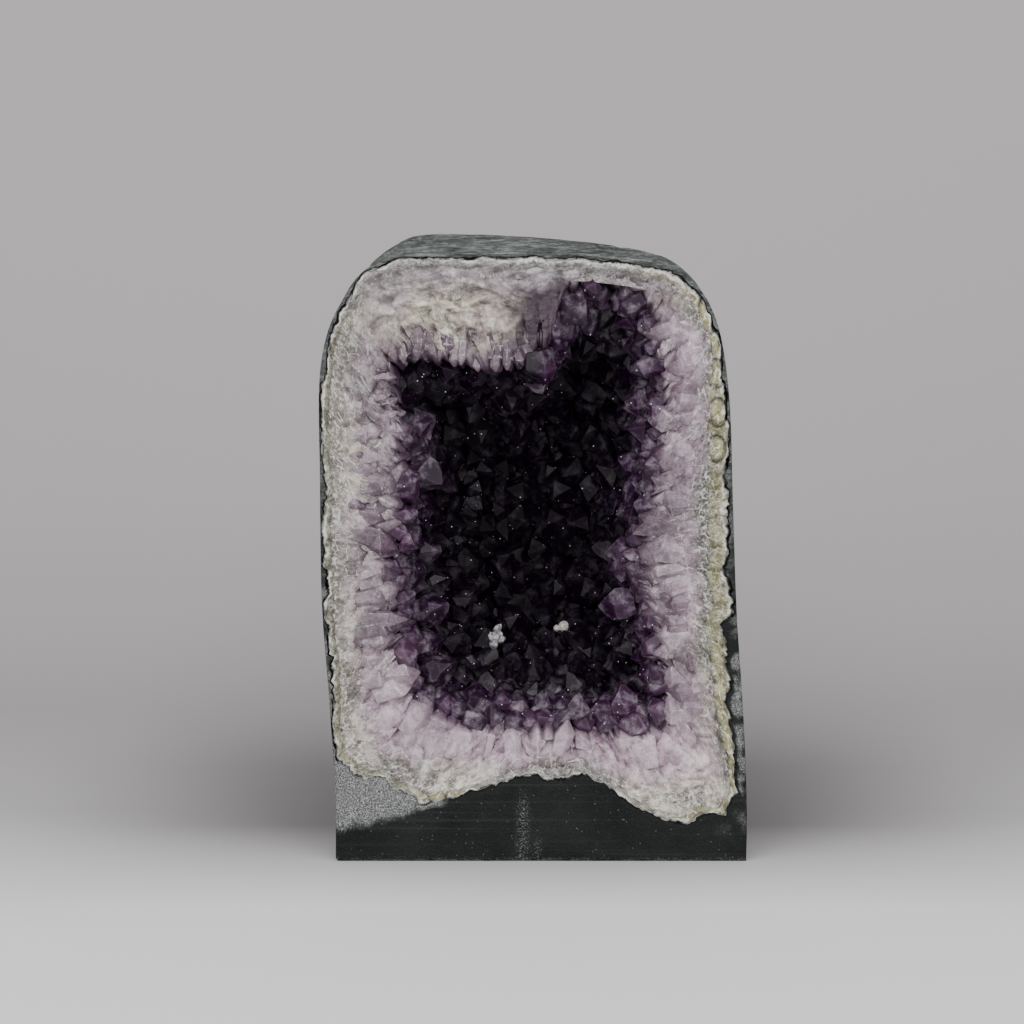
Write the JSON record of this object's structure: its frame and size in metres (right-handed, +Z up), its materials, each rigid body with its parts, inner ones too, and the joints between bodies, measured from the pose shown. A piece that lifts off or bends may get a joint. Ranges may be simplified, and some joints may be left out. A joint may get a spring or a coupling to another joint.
{
  "type": "amethyst geode",
  "caption": "Arched geode with a flat sawn base, open in front on a deep cavity lined with purple amethyst crystals.",
  "frame": {"origin": "on the floor, under the middle of the box round the stone", "axes": "+Z up, +X to the right as seen from the open face, and the open face looks along -Y"},
  "size_m": [0.1788, 0.1312, 0.2613],
  "materials": {
    "basalt": "dark grey-green rock, matt, sawn at the foot",
    "chalcedony": "cream to ochre crust, sugary",
    "quartz": "cloudy pale lilac quartz, glassy where broken",
    "amethyst": "deep purple crystal, clear and glossy",
    "calcite": "white, satin"
  },
  "bodies": {
    "root": {"amethyst_crystal_01": "amethyst", "amethyst_crystal_02": "amethyst", "amethyst_crystal_03": "amethyst", "amethyst_crystal_04": "amethyst", "amethyst_crystal_05": "amethyst", "amethyst_crystal_06": "amethyst", "amethyst_crystal_07": "amethyst", "amethyst_crystal_08": "amethyst", "amethyst_crystal_09": "amethyst", "amethyst_crystal_10": "amethyst", "amethyst_crystal_11": "amethyst", "amethyst_crystal_12": "amethyst", "amethyst_crystal_13": "amethyst", "amethyst_crystal_14": "amethyst", "amethyst_crystal_15": "amethyst", "amethyst_crystal_16": "amethyst", "amethyst_crystal_17": "amethyst", "amethyst_crystal_18": "amethyst", "amethyst_crystal_19": "amethyst", "amethyst_crystal_20": "amethyst", "amethyst_crystal_21": "amethyst", "amethyst_crystal_22": "amethyst", "amethyst_crystal_23": "amethyst", "amethyst_crystal_24": "amethyst", "amethyst_crystal_25": "amethyst", "amethyst_crystal_26": "amethyst", "amethyst_crystal_27": "amethyst", "amethyst_crystal_28": "amethyst", "amethyst_crystal_29": "amethyst", "amethyst_crystal_30": "amethyst", "amethyst_crystal_31": "amethyst", "amethyst_crystal_32": "amethyst", "amethyst_crystal_33": "amethyst", "amethyst_crystal_34": "amethyst", "amethyst_crystal_35": "amethyst", "amethyst_crystal_36": "amethyst", "amethyst_crystal_37": "amethyst", "amethyst_crystal_38": "amethyst", "amethyst_crystal_39": "amethyst", "amethyst_crystal_40": "amethyst", "amethyst_crystal_41": "amethyst", "amethyst_crystal_42": "amethyst", "amethyst_crystal_43": "amethyst", "amethyst_crystal_44": "amethyst", "amethyst_crystal_45": "amethyst", "amethyst_crystal_46": "amethyst", "amethyst_crystal_47": "amethyst", "amethyst_crystal_48": "amethyst", "amethyst_crystal_49": "amethyst", "amethyst_crystal_50": "amethyst", "amethyst_crystal_51": "amethyst", "amethyst_crystal_52": "amethyst", "amethyst_crystal_53": "amethyst", "amethyst_crystal_54": "amethyst", "basalt_rind": "basalt", "calcite_grain": "calcite", "chalcedony_band": "chalcedony", "quartz_lining": "quartz"}
  },
  "joints": []
}
